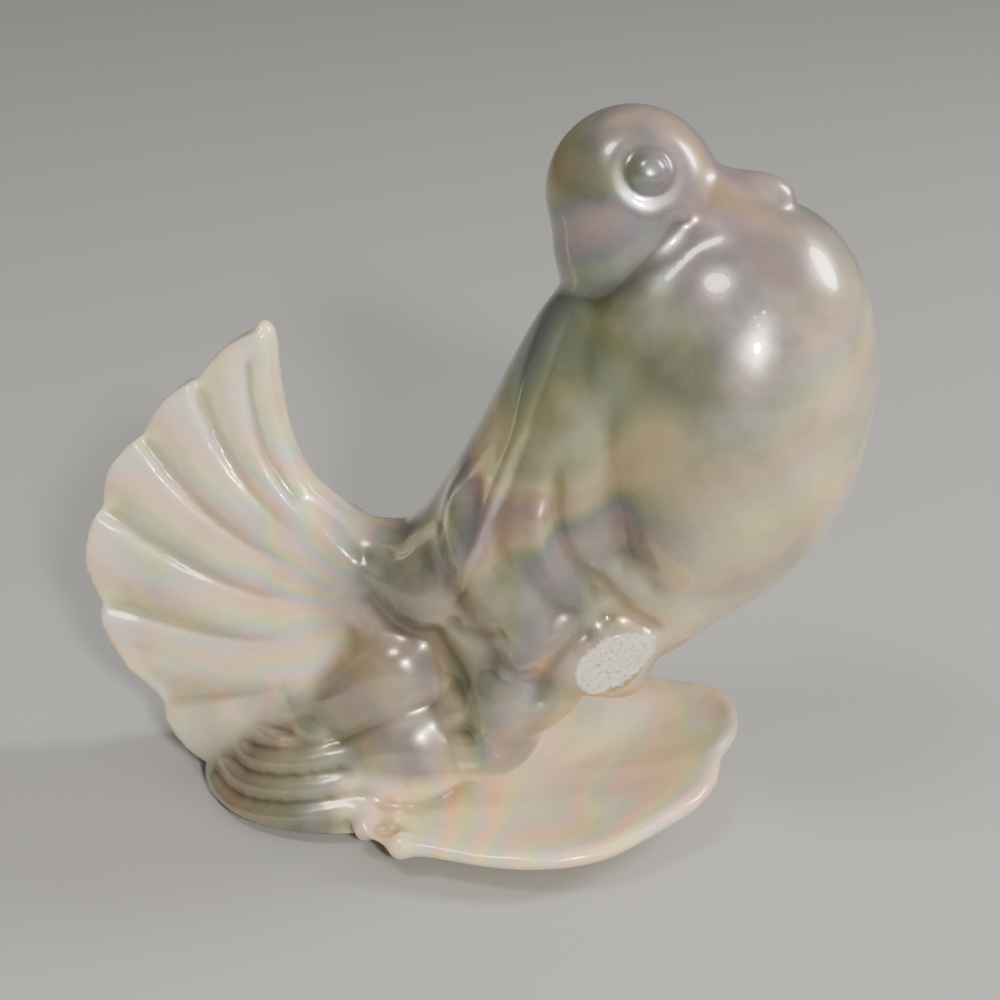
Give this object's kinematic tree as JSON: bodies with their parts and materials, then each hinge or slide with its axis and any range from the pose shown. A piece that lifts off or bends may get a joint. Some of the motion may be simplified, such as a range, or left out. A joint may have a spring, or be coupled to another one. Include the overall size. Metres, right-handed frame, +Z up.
{
  "type": "dove statue",
  "caption": "Glazed ceramic pouter dove with puffed breast, thrown-back head and fanned scalloped tail, standing on an open shell dish.",
  "frame": {"origin": "on the table, under the middle of the figure's outline seen from above", "axes": "+X the way the breast faces, +Y to the dove's left, +Z up"},
  "size_m": [0.1556, 0.0672, 0.1437],
  "materials": {
    "lustre_glaze": "glossy mother-of-pearl lustre over a pale cream glaze, with faint peach, green and violet bands"
  },
  "bodies": {
    "root": {"dove_statue": "lustre_glaze"}
  },
  "joints": []
}
